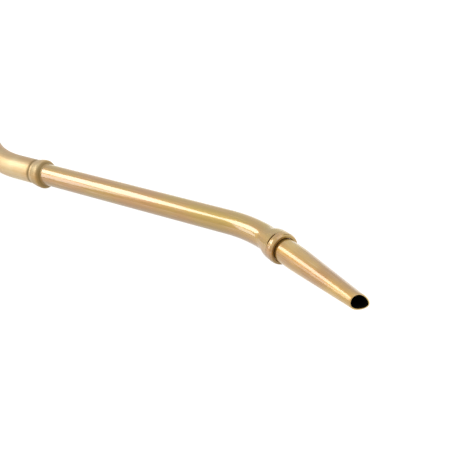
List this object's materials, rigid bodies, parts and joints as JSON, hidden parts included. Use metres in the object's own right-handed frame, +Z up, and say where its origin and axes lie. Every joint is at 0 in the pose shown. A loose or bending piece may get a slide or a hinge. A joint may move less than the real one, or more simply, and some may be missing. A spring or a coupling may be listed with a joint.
{
  "type": "fuel nozzle",
  "caption": "Hand-held brass lever nozzle for fuel and fluids, with a long slim bent swivelling spout, sprung poppet valve, lever with hold-open pawl, guard and swivelling hose inlet.",
  "frame": {"origin": "centre of the bounding box in plan, on the plane that the nozzle lies on", "axes": "+X along the straight middle tube towards the mouth, +Y away from the lever, so the tip turns towards -Y, +Z up with the nozzle lying on its side"},
  "size_m": [0.7194, 0.138, 0.036],
  "materials": {
    "satin_brass": "satin, brushed lengthways",
    "cast_brass": "fine sand-cast skin, lightly tumbled",
    "steel": "satin",
    "rubber": "matt",
    "gasket": "matt compressed fibre",
    "grip": "matt, ribbed"
  },
  "bodies": {
    "body": {"rear_tube": "satin_brass", "bead_ring": "satin_brass", "spout_packing": "rubber", "tailpiece": "satin_brass", "union_nut": "satin_brass", "union_gasket": "gasket", "valve_body": "cast_brass", "seat_ring": "steel", "main_spring": "steel", "bonnet_cap": "satin_brass", "bonnet_gasket": "gasket", "gland_packing": "rubber", "gland_nut": "satin_brass", "lever_pin": "steel", "lever_pin_clip": "steel", "lever_guard": "satin_brass", "hold_open_rack": "steel", "guard_screw_front": "steel", "guard_screw_rear": "steel", "grip_sleeve": "grip", "swivel_spindle": "satin_brass", "swivel_seal": "rubber", "swivel_retainer": "steel", "inlet_strainer": "steel"},
    "spout": {"spout_tube": "satin_brass", "lock_ring": "satin_brass", "tip_seal": "rubber"},
    "tip": {"spout_tip": "satin_brass", "stream_straightener": "satin_brass"},
    "lever": {"lever": "cast_brass", "lever_button": "steel", "pawl_pin": "steel", "pawl_spring": "steel"},
    "pawl": {"hold_open_pawl": "steel"},
    "poppet": {"valve_stem": "steel", "poppet_seal": "rubber", "poppet_disc": "satin_brass", "stem_nut": "steel"},
    "inlet": {"inlet_swivel": "satin_brass", "hose_gasket": "rubber"}
  },
  "joints": [
    {"name": "lever_pull", "type": "hinge", "parent": "body", "child": "lever", "pos_m": [-0.13271, -0.019, 0.018], "axis": [0, 0, -1], "range_deg": [0, 12], "stiffness_Nm_per_rad": 2.5, "springref_deg": -15.47},
    {"name": "valve_lift", "type": "slide", "parent": "body", "child": "poppet", "axis": [0, 1, 0], "range_m": [0, 0.005], "deforming": ["main_spring"]},
    {"name": "pawl_swing", "type": "hinge", "parent": "lever", "child": "pawl", "pos_m": [-0.28771, -0.047, 0.018], "axis": [0, 0, 1], "range_deg": [0, 37], "stiffness_Nm_per_rad": 0.02, "springref_deg": -28.65},
    {"name": "spout_swivel", "type": "hinge", "parent": "body", "child": "spout", "pos_m": [0.05029, -0.00625, 0.018], "axis": [-1, 0, 0], "range_deg": [0, 90]},
    {"name": "tip_turn", "type": "hinge", "parent": "spout", "child": "tip", "pos_m": [0.27308, -0.01298, 0.018], "axis": [0.9483, -0.3173, 0], "continuous": true},
    {"name": "inlet_turn", "type": "hinge", "parent": "body", "child": "inlet", "pos_m": [-0.34571, 0.035, 0.018], "axis": [-1, 0, 0], "continuous": true}
  ],
  "couplings": [
    {"joint": "valve_lift", "follows": "lever_pull", "m_per_rad": 0.023}
  ]
}
